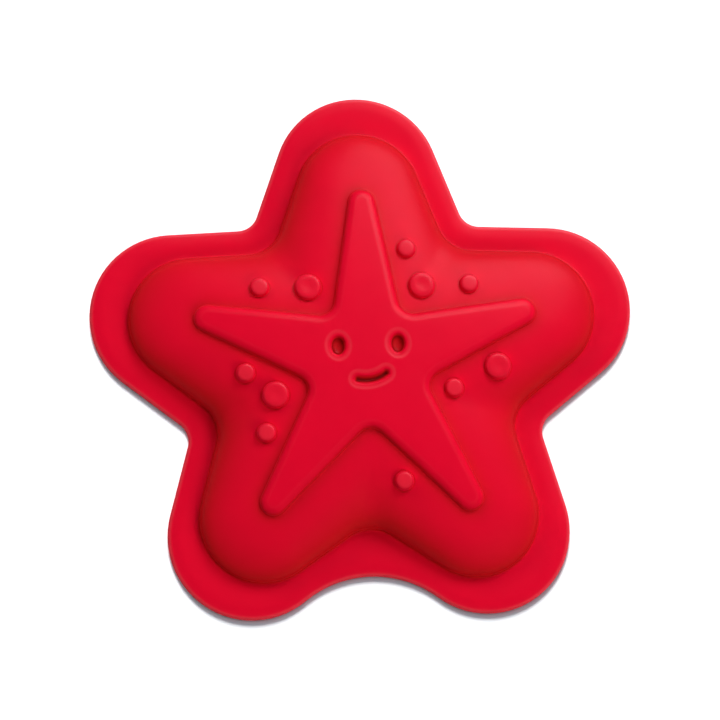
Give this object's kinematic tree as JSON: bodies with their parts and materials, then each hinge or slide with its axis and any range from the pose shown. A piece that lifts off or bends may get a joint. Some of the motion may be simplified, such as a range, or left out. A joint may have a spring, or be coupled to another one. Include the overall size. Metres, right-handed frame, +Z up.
{
  "type": "star-shaped sand mould",
  "caption": "Soft silicone sand mould: a puffy hollow star on a flat rim, with a raised smiling starfish and round pips, filled through its open underside.",
  "frame": {"origin": "centre of the bounding box at the underside of the rim, on which the mould lies", "axes": "+Z up from the open mouth to the crown, +Y towards the single top lobe, +X towards the right of the smiling face as seen from above"},
  "size_m": [0.1314, 0.1268, 0.0167],
  "materials": {
    "red_silicone": "satin matt moulded silicone"
  },
  "bodies": {
    "root": {"rim_flange": "red_silicone", "domed_body": "red_silicone", "starfish_relief": "red_silicone", "large_pips": "red_silicone", "small_pips": "red_silicone"}
  },
  "joints": []
}
